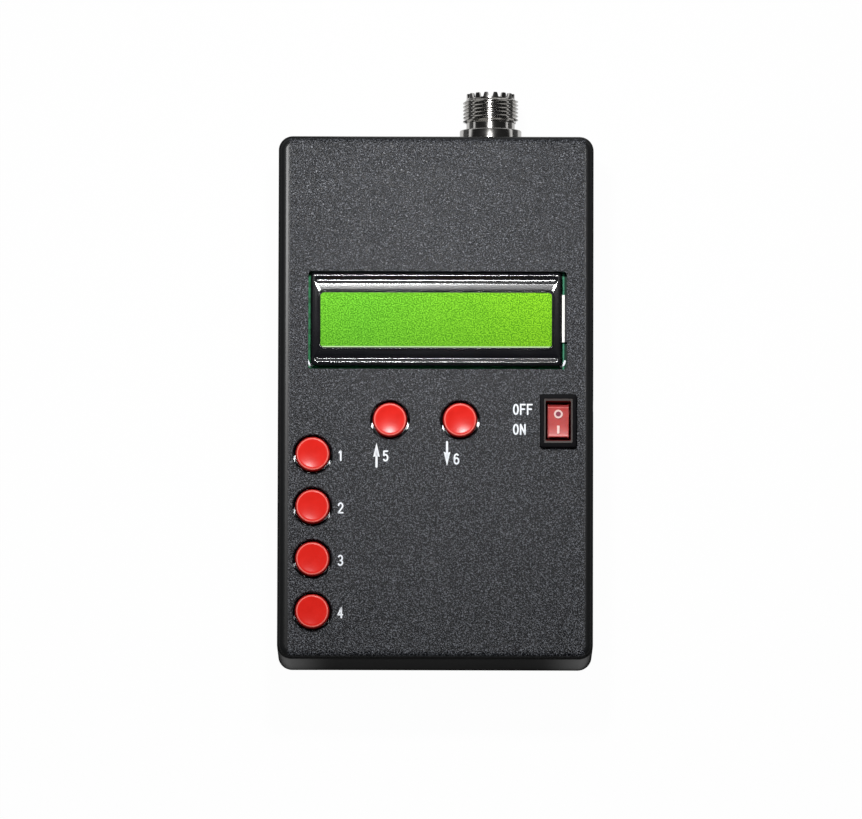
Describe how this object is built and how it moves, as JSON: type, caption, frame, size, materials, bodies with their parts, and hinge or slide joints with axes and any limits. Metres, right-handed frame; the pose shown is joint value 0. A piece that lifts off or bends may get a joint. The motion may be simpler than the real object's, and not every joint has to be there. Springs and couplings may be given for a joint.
{
  "type": "antenna analyzer",
  "caption": "Hand-held antenna analyzer: flat black two-shell case with a lit display, round push keys, a rocker power switch and a screw-on coaxial socket on its end.",
  "frame": {"origin": "middle of the flat back face, on which the instrument lies", "axes": "+Z out of the front face, +Y towards the end that carries the coaxial socket, +X to the right as the front is read"},
  "size_m": [0.09, 0.1647, 0.0426],
  "materials": {
    "shell_plastic": "fine spark-eroded grain, satin",
    "key_plastic": "moulded gloss",
    "inner_plastic": "moulded satin",
    "circuit_board": "solder mask, semi-gloss",
    "screw_steel": "zinc plated",
    "display_glass": "lit yellow-green panel behind polariser",
    "display_frame": "gloss black lacquer on pressed sheet",
    "white_plastic": "smooth white",
    "rocker_plastic": "translucent red",
    "switch_plastic": "moulded gloss",
    "nickel": "bright nickel plate",
    "contact_metal": "plated spring brass",
    "insulator": "waxy off-white",
    "cell_wrap": "shrink sleeve",
    "core_powder": "coated iron powder",
    "trimmer_plastic": "moulded"
  },
  "bodies": {
    "case": {"front_shell": "shell_plastic", "rear_shell": "shell_plastic", "case_screws": "screw_steel", "main_board": "circuit_board", "board_screws": "screw_steel", "lcd_board": "circuit_board", "lcd_backlight": "white_plastic", "lcd_glass": "display_glass", "lcd_frame": "display_frame", "lcd_spacers": "white_plastic", "lcd_screws": "screw_steel", "lcd_header": "inner_plastic", "key_switch_up": "inner_plastic", "key_switch_down": "inner_plastic", "key_switch_1": "inner_plastic", "key_switch_2": "inner_plastic", "key_switch_3": "inner_plastic", "key_switch_4": "inner_plastic", "key_covers": "screw_steel", "rocker_housing": "switch_plastic", "rocker_terminals": "contact_metal", "coax_body": "nickel", "coax_insulator": "insulator", "coax_contact": "contact_metal", "coax_washer": "nickel", "coax_nut": "nickel", "power_jack": "inner_plastic", "power_pin": "nickel", "usb_shell": "nickel", "usb_tongue": "inner_plastic", "battery_cells": "cell_wrap", "battery_strips": "nickel", "controller_chip": "inner_plastic", "signal_chip": "inner_plastic", "crystal": "nickel", "bridge_toroids": "core_powder", "capacitors": "inner_plastic", "regulator": "inner_plastic", "buzzer": "inner_plastic", "trimmers": "trimmer_plastic"},
    "key_up": {"button_up": "key_plastic", "plunger_up": "inner_plastic"},
    "key_down": {"button_down": "key_plastic", "plunger_down": "inner_plastic"},
    "key_1": {"button_1": "key_plastic", "plunger_1": "inner_plastic"},
    "key_2": {"button_2": "key_plastic", "plunger_2": "inner_plastic"},
    "key_3": {"button_3": "key_plastic", "plunger_3": "inner_plastic"},
    "key_4": {"button_4": "key_plastic", "plunger_4": "inner_plastic"},
    "rocker": {"rocker": "rocker_plastic"}
  },
  "joints": [
    {"name": "key_up_press", "type": "slide", "parent": "case", "child": "key_up", "axis": [0, 0, -1], "range_m": [0, 0.0003], "stiffness_N_per_m": 1500, "springref_m": -0.0004},
    {"name": "key_down_press", "type": "slide", "parent": "case", "child": "key_down", "axis": [0, 0, -1], "range_m": [0, 0.0003], "stiffness_N_per_m": 1500, "springref_m": -0.0004},
    {"name": "key_1_press", "type": "slide", "parent": "case", "child": "key_1", "axis": [0, 0, -1], "range_m": [0, 0.0003], "stiffness_N_per_m": 1500, "springref_m": -0.0004},
    {"name": "key_2_press", "type": "slide", "parent": "case", "child": "key_2", "axis": [0, 0, -1], "range_m": [0, 0.0003], "stiffness_N_per_m": 1500, "springref_m": -0.0004},
    {"name": "key_3_press", "type": "slide", "parent": "case", "child": "key_3", "axis": [0, 0, -1], "range_m": [0, 0.0003], "stiffness_N_per_m": 1500, "springref_m": -0.0004},
    {"name": "key_4_press", "type": "slide", "parent": "case", "child": "key_4", "axis": [0, 0, -1], "range_m": [0, 0.0003], "stiffness_N_per_m": 1500, "springref_m": -0.0004},
    {"name": "rocker_tilt", "type": "hinge", "parent": "case", "child": "rocker", "pos_m": [0.035, -0.00695, 0.0394], "axis": [-1, 0, 0], "range_deg": [0, 21]}
  ]
}
